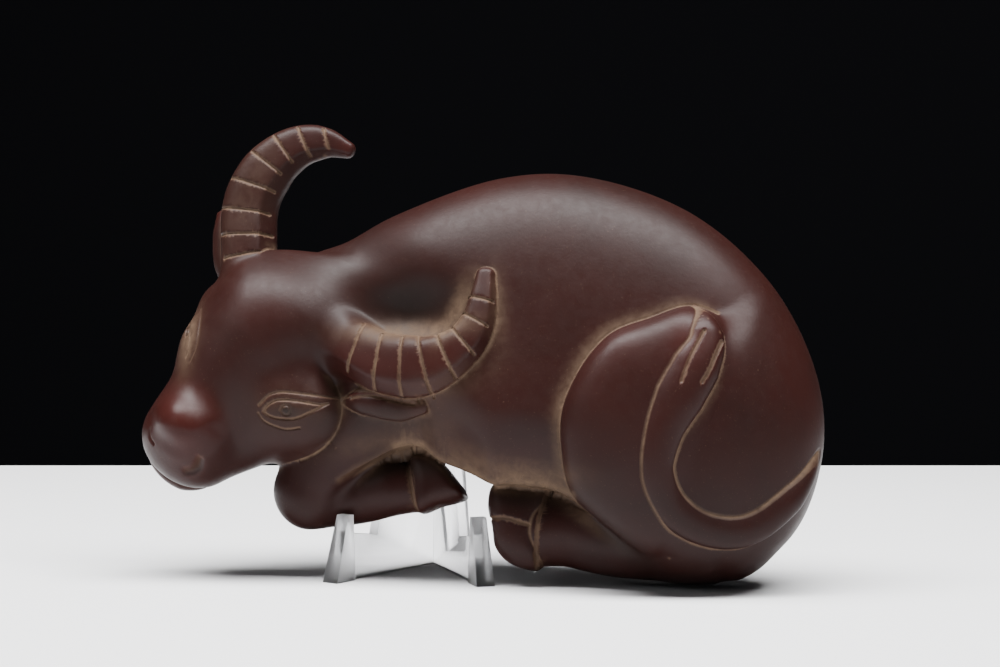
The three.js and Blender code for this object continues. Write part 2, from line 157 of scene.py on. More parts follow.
# Trunk: an egg that thins towards the neck. Its lower edge overhangs the folded legs and leaves the belly open
# between them, so the egg is cut back along that edge, and the cut slopes away to the front.
TRUNK_RIM = 7.5
NECK_THINNING = 0.34
trunk_egg = pebble(
    centre=(38, 48),
    outline=[
        (-31, 73.5), (-18, 79.4), (-5.5, 86.1), (18.5, 94.5), (40, 94.8), (63.9, 86.4), (82.3, 70.5),
        (92.6, 51.5), (94.8, 33), (88.6, 14.2), (75.5, 3), (61.5, -1.9), (40, 0), (20, 4.5), (0, 9.5),
        (-16, 15.5), (-28, 26), (-35, 41), (-38, 58),
    ],
    rim=TRUNK_RIM, slope=(0, 0), dome=21.5, back=9.5, fullness=2.4,
)
LOWER_EDGE = [
    (-34, -20), (-26, 4), (-21, 17), (-17, 21.5), (-13.8, 23.7), (-8.9, 26.4), (-3.8, 29.2), (-0.5, 30),
    (2.4, 29.8), (4.8, 28), (6.7, 26.4), (8.9, 25.5), (12.2, 24.4), (15.8, 22.8), (18.4, 21.4), (20.3, 20.5),
    (24.3, 21.1), (29.9, 20.5), (33.1, 20.1), (36.6, 19), (40, 17), (46, 12.5), (52, 8.5), (57, 5), (64, 0.5),
    (72, -5), (78, -30),
]
EDGE_DEPTH = (14, 18)  # how far out the edge lies over the foreleg, and over the hind leg
EDGE_SLOPE = 1.1
UNDERCUT = 0.27
EDGE_FILLET = 3.5
EDGE_RUN_OUT = 5
EDGE_SOFTNESS = 1.0


def soft_curve(places, softness, step=0.1):
    """A curve through the places as a table of u, v and steepness, with its corners rounded."""
    u, v = np.array(places, float).T
    even = np.arange(u[0], u[-1], step)
    away = np.arange(-3 * softness, 3 * softness + step, step)
    bell = np.exp(-(away / softness) ** 2 / 2)
    spread = len(away) // 2
    padded = np.pad(np.interp(even, u, v), spread, mode="edge")
    soft = np.convolve(padded, bell / bell.sum(), mode="valid")[: len(even)]
    return even, soft, np.gradient(soft, even)


edge_table = soft_curve(LOWER_EDGE, EDGE_SOFTNESS)


def below_edge(p):
    even, lies_at, steepness = edge_table
    depth = EDGE_DEPTH[0] + (EDGE_DEPTH[1] - EDGE_DEPTH[0]) * ramp(p[:, 0], 8, 24)
    open_belly = ramp(p[:, 0], -1, 3) * (1 - ramp(p[:, 0], 18, 21))
    slope = np.where(p[:, 2] > depth, EDGE_SLOPE, -UNDERCUT * open_belly)
    height = p[:, 1] - np.interp(p[:, 0], even, lies_at) - slope * (p[:, 2] - depth)
    return height / np.sqrt(1 + np.interp(p[:, 0], even, steepness) ** 2 + slope**2)


def trunk(p):
    thin = 1 - NECK_THINNING * ramp(-p[:, 0], -6, 26)
    proud = np.maximum(p[:, 2] - TRUNK_RIM, 0)
    egg = trunk_egg(np.stack([p[:, 0], p[:, 1], np.minimum(p[:, 2], TRUNK_RIM) + proud / thin], axis=1))
    return pare(egg, below_edge(p), EDGE_FILLET + EDGE_RUN_OUT * ramp(p[:, 0], 50, 62))


# Haunch: a flat pebble laid over the hind quarters. It has a crisp edge to the front and runs out into the rump.
haunch_pebble = pebble(
    centre=(64, 31),
    outline=[
        (66.3, 61.2), (56.4, 58.1), (48.7, 54.9), (43.8, 50.2), (40.3, 44.7), (37.7, 38.7), (36.8, 33.3),
        (37.2, 26.9), (38.2, 21.1), (40.6, 16.6), (47.5, 10.9), (54.3, 6.1), (61, 3.5), (76, 7), (85.5, 17),
        (88.5, 31), (85, 45), (77, 56),
    ],
    rim=20, slope=(-0.22, 0.16), dome=13.5, back=20, fullness=2.6,
)
CRISP = 0.5
RUN_OUT_FILLET = 8
RUN_OUT_SINK = 1.2


def behind_haunch(p):
    return ramp(p[:, 0] - 52.5 - 0.29 * p[:, 1], 0, 12)


def haunch(p):
    return haunch_pebble(p) + RUN_OUT_SINK * behind_haunch(p)


def haunch_fillet(p):
    return CRISP + (RUN_OUT_FILLET - CRISP) * behind_haunch(p)


# Head: turned half towards the viewer and laid low. Its lengths run from the poll to the muzzle, across it
# towards the near horn, and out of the back.
POLL = (-28, 63.6)
HEAD_TURN = math.atan2(-35.6, -25)


def head_place(along, across, w):
    cos, sin = math.cos(HEAD_TURN), math.sin(HEAD_TURN)
    return (POLL[0] + along * cos - across * sin, POLL[1] + along * sin + across * cos, w)


def along_head(p):
    return (p[:, 0] - POLL[0]) * math.cos(HEAD_TURN) + (p[:, 1] - POLL[1]) * math.sin(HEAD_TURN)


def skull(p):
    cranium = ball(p, head_place(7, -0.5, 14), (13.8, 17.8, 14.5), HEAD_TURN)
    brow = ball(p, head_place(20, -3, 14.5), (13, 15.2, 12.5), HEAD_TURN)
    cheek = ball(p, head_place(20, 10, 13.5), (13.5, 16, 13), HEAD_TURN)
    jaw = ball(p, head_place(17.9, 19.9, 11.5), (8.5, 8.5, 11), HEAD_TURN)
    bridge = cone(p, head_place(14, -1.4, 16), head_place(40, -1.9, 14.5), 13.2, 11.3)
    nose_end = ball(p, head_place(38.6, -0.6, 21.5), (6.6, 8.2, 9.8), HEAD_TURN)
    chin = cone(p, head_place(20, 12, 11), head_place(42, 2, 10.5), 12, 8)
    pad = ball(p, head_place(42.8, -1.6, 13.2), (8.8, 11.2, 10.2), HEAD_TURN)
    far_brow = ball(p, head_place(12, -13, 11), (7.5, 8, 8), HEAD_TURN)
    snout = join(join(join(bridge, chin, 4), nose_end, 6), pad, 2)
    return join(join(join(cranium, far_brow, 4), join(join(brow, cheek, 4), jaw, 4), 4), snout, 4)


# The neck flows into the poll with no seam, and passes under the jaw with a crisp one.
POLL_FILLET = 13


def neck_fillet(p):
    return CRISP + (POLL_FILLET - CRISP) * (1 - ramp(along_head(p), 1, 12)) * ramp(p[:, 2], 7, 17)


# A press is a place worked down with the thumb, or left standing where its depth is negative: its place in
# u and v, half sizes, turn and depth.
FRONT_FROM, FRONT_FULL = 3, 6


def pressed(p, presses):
    total = np.zeros(len(p))
    for at, (a, b), turn, depth in presses:
        du, dv = p[:, 0] - at[0], p[:, 1] - at[1]
        x = (du * math.cos(turn) + dv * math.sin(turn)) / a
        y = (dv * math.cos(turn) - du * math.sin(turn)) / b
        total += depth * np.exp(-(x * x + y * y))
    return total * ramp(p[:, 2], FRONT_FROM, FRONT_FULL)


body_presses = [
    ((1.5, 58.8), (13, 8.5), -0.1, 5.6),  # the hollow inside the curve of the near horn
]
SEAM_CUT = 0.2
SEAM_HALF = 0.36
FAR_OFF = 9.0


def lay_on(size, gap, form, fillet):
    """Run a form into the clay so far, and note how near each place is to the seam between them."""
    buried = np.maximum(np.minimum(np.abs(size), np.abs(form)) - 1, 0)
    seam = np.abs(size - form) + buried * FAR_OFF + FAR_OFF * ramp(fillet, 1, 3)
    return join(size, form, fillet), np.minimum(gap, seam)


def body(p, presses=()):
    gap = np.full(len(p), FAR_OFF)
    size, gap = lay_on(trunk(p), gap, haunch(p), haunch_fillet(p))
    size, gap = lay_on(size, gap, skull(p), neck_fillet(p))
    return size + pressed(p, presses), gap


# A limb is a rounded bar along a smooth path, with its half-width across the path and its half-depth out of it.
def smooth_path(places, count):
    given = np.array(places, float)
    knots = np.vstack([2 * given[0] - given[1], given, 2 * given[-1] - given[-2]])
    steps = np.linspace(0, 1, 40)[:, None]
    stretches = [given[:1]]
    for a, b, c, d in zip(knots, knots[1:], knots[2:], knots[3:]):
        before, here, after = (math.sqrt(np.linalg.norm(q - r)) for q, r in ((b, a), (c, b), (d, c)))
        leave = ((b - a) / before - (c - a) / (before + here) + (c - b) / here) * here
        arrive = ((c - b) / here - (d - b) / (here + after) + (d - c) / after) * here
        square = (3 * (c - b) - 2 * leave - arrive) * steps**2
        cube = (2 * (b - c) + leave + arrive) * steps**3
        stretches.append((b + leave * steps + square + cube)[1:])
    line = np.concatenate(stretches)
    length = np.concatenate([[0], np.cumsum(np.linalg.norm(np.diff(line, axis=0), axis=1))])
    even = np.linspace(0, length[-1], count)
    return np.stack([np.interp(even, length, part) for part in line.T], axis=1), length[-1]


def through(sizes, share):
    return np.interp(share, np.linspace(0, 1, len(sizes)), sizes)


PATH_STEPS = 120


def limb(places, width, depth, squareness=2.0, bevel=None):
    path, length = smooth_path(places, PATH_STEPS)
    ahead = np.gradient(path, axis=0)
    ahead /= np.linalg.norm(ahead, axis=1)[:, None]
    across = np.cross([0, 0, 1], ahead)
    across /= np.linalg.norm(across, axis=1)[:, None]
    out = np.cross(ahead, across)
    reach = max(*width, *depth) + 3
    low, high = path.min(0) - reach, path.max(0) + reach
    squares = (path * path).sum(1)

    def form(p):
        size = np.full(len(p), FAR_OFF)
        close = ((p > low) & (p < high)).all(1)
        if not close.any():
            return size
        q = p[close]
        nearest = np.argmin(squares - 2 * (q @ path.T), axis=1)
        onward = ((q - path[nearest]) * ahead[nearest]).sum(1) / (length / (PATH_STEPS - 1))
        at = np.clip(nearest + onward, 0, PATH_STEPS - 1)
        first = np.minimum(at.astype(int), PATH_STEPS - 2)
        part = (at - first)[:, None]
        on_path, side, front, forward = (
            row[first] * (1 - part) + row[first + 1] * part for row in (path, across, out, ahead)
        )
        off = q - on_path
        wide, deep = (through(sizes, at / (PATH_STEPS - 1)) for sizes in (width, depth))
        cap = np.minimum(wide, deep)
        a, b, c = (off * side).sum(1) / wide, (off * front).sum(1) / deep, (off * forward).sum(1) / cap
        section = (np.abs(a) ** squareness + np.abs(b) ** squareness) ** (1 / squareness)
        found = (np.hypot(section, c) - 1) * cap
        if bevel:
            outer, keep = bevel
            found = np.maximum(found, (0.887 * a * outer + 0.462 * b - keep) * cap)
        size[close] = np.minimum(found, FAR_OFF)
        return size

    return form


# Parts laid on the body find its surface there, and sink into it by their third value.
def front_of(u, v):
    depths = np.arange(50, 0, -0.1)
    inside = body(np.stack([np.full_like(depths, u), np.full_like(depths, v), depths], axis=1))[0] <= 0
    return depths[np.argmax(inside)] if inside.any() else 0.0


def laid(places):
    return [(u, v, front_of(u, v) - sink) for u, v, sink in places]


parts = []  # each form laid on the body, with its fillet
lines = []  # each scored line: its places in u and v, half-width, depth, and how much dust it holds
face_presses = []

# Tail: over the rump, low across the haunch, and up to its brush, which is scored into locks.
parts.append((limb(
    laid([
        (92.4, 33, 7.5), (90.6, 26, 4.8), (85.4, 18.4, 3.2), (77, 12.2, 2.4), (69, 12.2, 2.2), (61.9, 16.2, 2.2), (59, 23, 2),
        (60, 31.5, 2), (63, 39, 1.9), (66.6, 46, 1.9), (68.8, 51.5, 1.9), (68.6, 56, 2), (66.6, 60.4, 2.4),
    ]),
    (2.2, 3.8, 5.2, 5.4, 5.1, 4.8, 4.3, 4.2, 5, 6.2, 6.1, 4.4, 0.9),
    (2.6, 3.2, 3.6, 3.4, 3.4, 3.4, 3.4, 3.4, 3.6, 3.9, 3.9, 3.4, 1.4),
), CRISP))
lines.append(([(69.3, 54.4), (67.6, 50.7), (65.9, 46.6), (64.6, 42.6)], 0.5, 0.55, 0.1))
lines.append(([(73.1, 52.1), (71.6, 48.1), (70.4, 44.9), (69.1, 42.6)], 0.5, 0.55, 0.1))

# Folded legs: upper arm, cannon and hoof in front, cannon and hoof behind. A line parts each hoof from its leg.
parts.append((limb([(-18, 32.6, 6), (-26, 18.9, 5)], (8.2, 8.1), (8, 7.6)), 5))
parts.append((limb(
    [(-25.7, 18.9, 4.6), (-20, 19, 3), (-14, 19.4, 2.9), (-6, 20.6, 4.2), (1.5, 21.4, 4.6)],
    (8.1, 7.5, 7, 6.4, 6), (7.6, 6.9, 6.6, 7.4, 6.4), 2.3,
), 1.7))
parts.append((pebble(
    centre=(5.5, 22.5),
    outline=[
        (1.2, 15), (6, 16.3), (11.6, 17.9), (12.2, 19.6), (9.2, 23.6), (6, 27), (2.6, 28.6), (-0.8, 27.8), (0.2, 22),
    ],
    rim=6, slope=(0, 0), dome=6.6, back=7, fullness=3.4,
), 1.2))
parts.append((limb(
    [(31, 11.5, 7), (38, 11.6, 7), (50, 9, 8), (61, 8.6, 8.5), (74, 11, 7)],
    (8.6, 9, 8.4, 8.3, 8), (8.6, 8.8, 9.2, 9.4, 8),
), lambda p: 1.4 + 3 * ramp(p[:, 0], 53, 62)))
parts.append((pebble(
    centre=(25, 12),
    outline=[
        (19.5, 21.6), (18.1, 16.8), (19.3, 11.5), (20.3, 6.5), (24, 3), (30.4, 2), (31, 8), (32, 15), (32.4, 20.6),
        (26, 21),
    ],
    rim=8, slope=(0, 0), dome=7.8, back=9, fullness=3,
), 1.0))
lines.append((LOWER_EDGE[3:7], 0.95, 0, 0.35))
lines.append((LOWER_EDGE[6:-6], 0.95, 0, 0.85))
lines.append(([(u, v + 0.6) for u, v in LOWER_EDGE[6:-6]], 1.2, 0, 0.85))
lines.append(([(-2.1, 26.6), (-1, 24.6), (-0.2, 21.5), (0.6, 17.8), (1.6, 13)], 0.55, 0.6, 0.35))
lines.append(([(32.5, 20), (31.2, 14.8), (30.6, 10.7), (30.3, 6.5), (30.2, 1)], 0.55, 0.6, 0.35))
lines.append(([(18.2, 13.3), (21.8, 13.3), (23.8, 13.1), (26.4, 12.4), (28.7, 11.8)], 0.5, 0.6, 0.3))

# Horns: the free one stands above the poll, the near one lies on the neck. Both are flat bars that grow out of
# the head without a seam, ringed by eight knife cuts. The near one is bevelled along its outer edge.
RING_CUT = (0.42, 0.5, 0.5)  # half-width, depth, dust held
RING_OVERRUN = 0.09
free_horn = [
    (-40.5, 66, 13), (-41, 73, 13), (-41.6, 80.5, 12.5), (-41.8, 86, 12), (-40.4, 91.6, 12), (-36.2, 98, 12),
    (-30, 102.2, 12), (-23.6, 102.9, 12), (-18.3, 101.2, 12),
]
free_rings = [
    ((-37.6, 75.1), (-45.3, 73.7)), ((-36, 79.6), (-46.8, 79.5)), ((-36.8, 84.9), (-46.9, 86.1)),
    ((-35.8, 90.5), (-45.3, 93.5)), ((-34.1, 94.9), (-40.4, 99.6)), ((-31.3, 97.9), (-35.5, 103.5)),
    ((-27.2, 99.6), (-29.9, 105.5)), ((-22.6, 101.3), (-23.8, 105.4)),
]
near_horn = laid([
    (-18.5, 54.5, 6.5), (-11.6, 51, 0.9), (-5.6, 48, 0), (0.3, 46.8, 0), (5.9, 46.9, 0), (10.8, 49, 0),
    (14.7, 52.1, 0), (17.2, 56.6, 0), (18.2, 62.1, 0), (18.6, 68, 0),
])
near_rings = [
    ((-10, 56.5), (-13.3, 45.8)), ((-5.2, 53.5), (-6.6, 41.4)), ((0, 52.6), (0, 39.7)), ((3.9, 52.7), (7.2, 39.8)),
    ((8.1, 53.6), (12.8, 43.7)), ((11.3, 55.5), (17, 49.1)), ((13.7, 58.8), (19.8, 55.6)), ((15, 62.7), (20.8, 61.4)),
]


def grown_from(root, fillet, reach):
    return lambda p: CRISP + fillet * np.exp(-((p - root) ** 2).sum(1) / reach**2)


parts.append((
    limb(free_horn, (7, 6.5, 6.6, 6.6, 6.4, 5.4, 4.2, 2), (5.8, 5.8, 5.6, 5.4, 5, 4.4, 3.4, 1.8), 2.8, (-1, 0.93)),
    grown_from(free_horn[0], 4, 8),
))
parts.append((
    limb(
        near_horn, (5.8, 6.4, 6.8, 7.1, 7.2, 6.3, 5, 4.1, 3.2, 2.2), (4.6, 4.8, 5, 5, 4.8, 4.4, 4, 3.4, 2.8, 1.8),
        2.7, (-1, 0.95),
    ),
    grown_from(near_horn[0], 6, 9),
))
for inner, outer in free_rings + near_rings:
    inner, outer = np.array(inner), np.array(outer)
    over = RING_OVERRUN * (outer - inner)
    beyond = over if outer[0] < -20 else 0 * over
    lines.append(([inner - over / 2, (inner + outer) / 2, outer + beyond], *RING_CUT))

# Ears: the near one is a leaf below its horn with a folded upper rim, the far one a sliver behind the free horn.
parts.append((limb(
    laid([(-14, 39.4, 1.2), (-10, 39.2, 0), (-6, 38.7, -0.4), (-1.5, 38.1, -0.5), (4.3, 38.3, 0)]),
    (1.6, 3.2, 3.7, 3.6, 2.2), (1.8, 2.6, 2.8, 2.6, 1.4),
), CRISP))
lines.append(([(-12.6, 39.8), (-8.4, 40.2), (-4.4, 39.5), (-0.2, 38.7), (2.4, 38.3)], 0.6, 0.5, 0.2))
parts.append((limb(
    [(-44, 67, 9), (-47.6, 74.5, 8), (-48.8, 82, 7.5), (-49.6, 89.5, 7)], (3.2, 3.6, 3.2, 1.2), (3, 2.8, 2.4, 1.1),
), 0.8))

# Eyes: low balls between scored lids, each with a scored crease above and below and a ringed pupil.
lines.append((
    [(-33.9, 37.4), (-32.5, 38.8), (-30.8, 40), (-28.6, 40.5), (-23.5, 40.3), (-17.8, 40), (-12.9, 40.2)], 0.38, 0.3, 0.3,
))
lines.append(([(-34.1, 35.7), (-32.8, 34), (-30.5, 32.9), (-27.7, 32.2), (-24.6, 32.6)], 0.38, 0.26, 0.25))
lines.append((
    [(-32.8, 36), (-31.7, 37.4), (-29.7, 38.5), (-26.9, 38.7), (-23.5, 38.4), (-20.1, 38.1), (-18.4, 38.4)], 0.4, 0.4, 0.2,
))
lines.append((
    [(-32.8, 36), (-31.1, 35), (-28.6, 34.5), (-25.5, 34.6), (-22.4, 35.9), (-20.1, 37.2), (-18.4, 38.4)], 0.38, 0.34, 0.3,
))
lines.append(([(-50.7, 61.3), (-49.5, 57.7), (-49.1, 53.5), (-49.5, 50.5), (-50.9, 47.5)], 0.38, 0.18, 0.1))
lines.append(([(-53.4, 57.6), (-51.9, 54.8), (-51.5, 51.4), (-52.2, 48.8)], 0.38, 0.22, 0.1))
PUPIL = 1.1
for eye_u, eye_v, lean in ((-27.4, 36.4, 1.0), (-53, 55.2, 0.5)):
    turns = np.linspace(0, 2 * math.pi, 13)
    ring = [(eye_u + lean * PUPIL * math.cos(turn), eye_v + PUPIL * math.sin(turn)) for turn in turns]
    lines.append((ring, 0.4, 0.4, 0.0))
face_presses.append(((-25.8, 36.9), (4.4, 1.7), 0.12, -0.55))
face_presses.append(((-17.3, 42.6), (2.4, 3), -0.2, 0.8))

# Muzzle: a pad under the round end of the nose, two comma nostrils, and a thin lower lip.
LIP_REACH = (9.6, 1.4)  # round the muzzle, and more so straight below it
lip = []
for angle in np.linspace(-1.3, 1.2, 7):
    reach = LIP_REACH[0] + LIP_REACH[1] * math.cos(angle)
    lip.append(head_place(43 + reach * math.cos(angle) * 8.8 / 11.2, -1.8 + reach * math.sin(angle), 8.5))
parts.append((limb(lip, (0.6, 1.7, 1.8, 0.5), (1.6, 3.2, 3.2, 1.4)), CRISP))
lines.append(([(-60, 34.5), (-58, 30.6), (-54.5, 28.3), (-50.8, 27), (-46.5, 28), (-44, 31)], 3, 0.45, 0))
lines.append(([(-51.6, 22.3), (-50, 22.6), (-48.6, 23.5), (-47.6, 25)], 1.2, 0.7, 0))
lines.append(([(-59.6, 33), (-60.2, 31.5), (-60.1, 29.9), (-59, 28.4)], 0.6, 0.45, 0))

# Scored lines are cut straight in from the front. A fine one has a sharp bottom, a wide one a round bottom.
FINE = 1.0
tracks = []
for places, half, depth, dust in lines:
    knots = [(u, v, 0) for u, v in places]
    track, length = smooth_path(knots, 2 * PATH_STEPS)
    tracks.append((track[:, :2], length, half, depth, dust))


def scored(p):
    """Depth of the cuts at each place, the dust that they hold, and how near the next fine one is."""
    cut, dust = np.zeros(len(p)), np.zeros(len(p))
    gap = np.full(len(p), FAR_OFF)
    for track, length, half, depth, held in tracks:
        reach = half + 1.5
        low, high = track.min(0) - reach, track.max(0) + reach
        close = ((p[:, :2] > low) & (p[:, :2] < high)).all(1) & (p[:, 2] > FRONT_FROM)
        if not close.any():
            continue
        q = p[close, :2]
        squares = (track * track).sum(1) - 2 * (q @ track.T)
        nearest = np.argmin(squares, axis=1)
        away = np.sqrt(np.maximum(squares[np.arange(len(q)), nearest] + (q * q).sum(1), 0))
        inward = np.maximum(1 - away / half, 0)
        shape = inward if half < FINE else inward * inward * (3 - 2 * inward)
        shape = shape * ramp(p[close, 2], FRONT_FROM, FRONT_FULL)
        cut[close] = np.maximum(cut[close], depth * shape)
        dust[close] = np.maximum(dust[close], held * inward)
        if half < FINE:
            gap[close] = np.minimum(gap[close], away)
    return cut, dust, gap


# The whole figure, with the rubbed back and the small flat under the rump.
SEAM_DUST = 0.55
BACK_FILLET = 1.6
FOOT_FILLET = 1.2


def figure_form(p):
    size, gap = body(p, body_presses)
    for form, fillet in parts:
        size, gap = lay_on(size, gap, form(p), fillet(p) if callable(fillet) else np.full(len(p), fillet))
    cut, dust, line_gap = scored(p)
    gap += FAR_OFF * (p[:, 2] < FRONT_FROM)
    seam_dust = SEAM_DUST * np.maximum(1 - gap / SEAM_HALF, 0)
    size = size + np.maximum(cut, SEAM_CUT * np.maximum(1 - gap / SEAM_HALF, 0)) + pressed(p, face_presses)
    size = pare(size, p[:, 2], BACK_FILLET)
    standing = p[:, 1] * math.cos(LEAN) + p[:, 2] * math.sin(LEAN)
    return pare(size, standing, FOOT_FILLET), np.minimum(gap, line_gap), np.maximum(dust, seam_dust)


# The solid's own mesh is made even, finer each time, and its points are drawn on to the form. Faces are then
# thinned where the clay is smooth and split where a line or a seam runs, and the points are drawn on again.
GRAINS = (1.2, 1.1, 0.8, 0.5)
LONGEST_MOVE = 1.2
SMOOTH_FACES = 56000
LINE_EDGE = 0.34
LINE_BAND = 0.34
SPLITS = 4
SLOPE_STEP = 0.04


def slope_of(p, size):
    steps = np.eye(3) * SLOPE_STEP
    return np.stack([(figure_form(p + step)[0] - size) / SLOPE_STEP for step in steps], axis=1)


def read_places(mesh):
    flat = np.empty(len(mesh.vertices) * 3, np.float32)
    mesh.vertices.foreach_get("co", flat)
    return into_clay(flat.reshape(-1, 3).astype(float))


def relaxed(p, pairs):
    """Each place moved half way to the middle of its neighbours."""
    start, end = pairs.T
    count = np.bincount(start, minlength=len(p)) + np.bincount(end, minlength=len(p))
    middle = [
        np.bincount(start, row[end], len(p)) + np.bincount(end, row[start], len(p)) for row in p.T
    ]
    return (p + np.stack(middle, axis=1) / np.maximum(count, 1)[:, None]) / 2


def edge_pairs(mesh):
    pairs = np.empty(len(mesh.edges) * 2, np.int32)
    mesh.edges.foreach_get("vertices", pairs)
    return pairs.reshape(-1, 2)


def draw_on(mesh, rounds, relaxings):
    p = read_places(mesh)
    pairs = edge_pairs(mesh)
    for turn in range(rounds):
        if turn < relaxings:
            p = relaxed(p, pairs)
        size = figure_form(p)[0]
        slope = slope_of(p, size)
        steep = np.maximum((slope * slope).sum(1), 0.05)
        move = -(size / steep)[:, None] * slope
        far = np.linalg.norm(move, axis=1)
        p += move * np.minimum(1, LONGEST_MOVE / np.maximum(far, 1e-9))[:, None]
    mesh.vertices.foreach_set("co", out_of_clay(p).astype(np.float32).ravel())
    mesh.update()
    return p


def split_along_lines(mesh):
    p = read_places(mesh)
    start, end = p[edge_pairs(mesh).T]
    long = np.linalg.norm(end - start, axis=1)
    chosen = long > LINE_EDGE
    chosen[chosen] = figure_form((start[chosen] + end[chosen]) / 2)[1] < LINE_BAND + long[chosen] / 3
    bpy.ops.object.mode_set(mode="EDIT")
    bpy.ops.mesh.select_mode(type="EDGE")
    bpy.ops.mesh.select_all(action="DESELECT")
    bpy.ops.object.mode_set(mode="OBJECT")
    mesh.edges.foreach_set("select", chosen)
    bpy.ops.object.mode_set(mode="EDIT")
    bpy.ops.mesh.subdivide(number_cuts=1)
    bpy.ops.mesh.select_all(action="SELECT")
    bpy.ops.mesh.quads_convert_to_tris(quad_method="SHORTEST_DIAGONAL", ngon_method="BEAUTY")
    bpy.ops.object.mode_set(mode="OBJECT")


def own_copy(node, name):
    copy = frame["nodes"][node].copy()
    copy.data = copy.data.copy()
    copy.name = name
    copy.parent = None
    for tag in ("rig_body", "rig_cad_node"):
        del copy[tag]
    bpy.context.scene.collection.objects.link(copy)
    bpy.ops.object.select_all(action="DESELECT")
    copy.select_set(True)
    bpy.context.view_layer.objects.active = copy
    bpy.ops.object.mode_set(mode="EDIT")
    bpy.ops.mesh.select_all(action="SELECT")
    bpy.ops.mesh.remove_doubles(threshold=1e-6)
    bpy.ops.object.mode_set(mode="OBJECT")
    return copy


figure = own_copy("buffalo_figure", "clay_buffalo")
for grain in GRAINS:
    even = figure.modifiers.new("even grain", "REMESH")
    even.mode = "VOXEL"
    even.voxel_size = grain / 1000
    bpy.ops.object.modifier_apply(modifier=even.name)
    draw_on(figure.data, 3, 2)
fewer = figure.modifiers.new("fewer faces", "DECIMATE")
fewer.ratio = min(1, SMOOTH_FACES / (2 * len(figure.data.polygons)))
bpy.ops.object.modifier_apply(modifier=fewer.name)
for _ in range(SPLITS):
    split_along_lines(figure.data)
clay_places = draw_on(figure.data, 6, 4)
bpy.ops.object.shade_smooth()

# Years of handling: pale ochre dust stays in each corner and cut, and what stands proud is rubbed redder and glossier.
# A dark colour is painted where shade falls: in the crevices above the legs and under the chest, in the pupils and
# nostril, and beside the near horn's root. In the hollow inside the near horn it is painted shade with real grime.
# Each spot has its place in u and v, half sizes, turn and amount.
REACHES = ((0.7, 0.3), (1.6, 0.35), (3.5, 0.35))
dust_spots = [
    ((1.5, 55.6), (11.5, 2.6), 0.04, 1.4),  # along the inner edge of the near horn
    ((11.4, 59.5), (2, 6.5), -0.38, 1.3),
    ((22, 60), (1.6, 9), 0.1, 0.3),
    ((12, 42), (12, 4), 0.45, 0.15),
    ((-27, 37), (9, 4.5), 0, 0.15),
    ((-52.3, 53), (2.6, 7), 0, 0.8),
    ((-3, 31), (14, 2.4), 0.2, 0.3),
    ((14, 26), (8, 3), -0.35, 0.5),
    ((30, 22.5), (10, 2.5), -0.1, 0.6),
    ((-41, 90), (5, 18), -0.3, 0.12),
]
# Darker patches: painted shade in the crevices, cuts and pupils, and painted shade with real grime in the hollow inside
# the near horn.
grime_and_shade_spots = [
    ((0, 61), (10.5, 6), -0.05, 0.9),
    ((-27.2, 36.3), (1.6, 1.4), 0, 1.3),
    ((-53, 55.2), (0.7, 1.2), 0, 0.9),
    ((-17.3, 41), (2.2, 4), 0, 0.5),
    ((-49, 23.3), (2.4, 1.2), 0.5, 0.5),
    ((2, 25.2), (9, 2.6), -0.1, 1.0),
    ((-8, 23.4), (6, 2), 0.5, 0.9),
    ((-4, 35), (12, 3.6), 0.05, 0.6),
    ((29, 17.8), (13, 2.6), -0.05, 0.9),
    ((50, 8), (9, 2.4), -0.6, 0.6),
]
rubbed_spots = [
    ((-53, 33), (11, 10), 0, 1.0),  # the nose
    ((-38, 62), (11, 7), -0.6, 0.2),
    ((-10, 47), (10, 6), -0.3, 0.5),
    ((10, 48), (9, 7), 0.6, 0.5),
    ((66, 53), (5, 6), 0, 0.7),
    ((50, 52), (9, 5), 0.5, 0.4),
]
NEVER_DUSTY = ((-56, 27), (11, 10), 0, 1)


def spotted(p, spots):
    return np.clip(pressed(p, spots) * ramp(p[:, 2], 5, 9), 0, 1)


def patina_and_shade(p):
    size, gap, line_dust = figure_form(p)
    slope = slope_of(p, size)
    steep = np.maximum(np.linalg.norm(slope, axis=1), 0.2)
    outward = slope / steep[:, None]
    sheltered, proud = np.zeros(len(p)), np.zeros(len(p))
    for reach, weight in REACHES:
        above = figure_form(p + outward * reach)[0] / (reach * steep)
        below = figure_form(p - outward * reach)[0] / (reach * steep)
        sheltered += weight * np.clip(1 - above, 0, 1)
        proud += weight * np.clip(1 + below, 0, 1)
    corners = 1 - 0.5 * ramp(sheltered, 0.12, 0.6)
    dust = 1 - (1 - np.clip(line_dust, 0, 1)) * corners * (1 - 0.85 * spotted(p, dust_spots))
    # Painted shade mask, partly real grime: darker colour in the hollow, the crevices, the pupils and the nostril.
    grime_and_shade = spotted(p, grime_and_shade_spots)
    dust *= (1 - spotted(p, [NEVER_DUSTY])) * (1 - 0.75 * grime_and_shade)
    rubbed = np.clip(ramp(proud, 0.12, 0.6) + spotted(p, rubbed_spots), 0, 1) * (1 - dust)
    return {"dust": dust, "rubbed": rubbed, "grime_and_shade": grime_and_shade}


for name, values in patina_and_shade(clay_places).items():
    held = figure.data.attributes.new(name, "FLOAT", "POINT")
    held.data.foreach_set("value", values.astype(np.float32))


def new_material(name):
    material = bpy.data.materials.new(name)
    material.use_nodes = True
    nodes = material.node_tree.nodes
    return material, nodes, material.node_tree.links, nodes["Principled BSDF"]


def scaled_noise(nodes, links, coordinates, scale, detail, roughness=0.5, distortion=0.0):
    noise = nodes.new("ShaderNodeTexNoise")
    noise.inputs["Scale"].default_value = scale
    noise.inputs["Detail"].default_value = detail
    noise.inputs["Roughness"].default_value = roughness
    noise.inputs["Distortion"].default_value = distortion
    links.new(coordinates, noise.inputs["Vector"])
    return noise.outputs["Fac"]


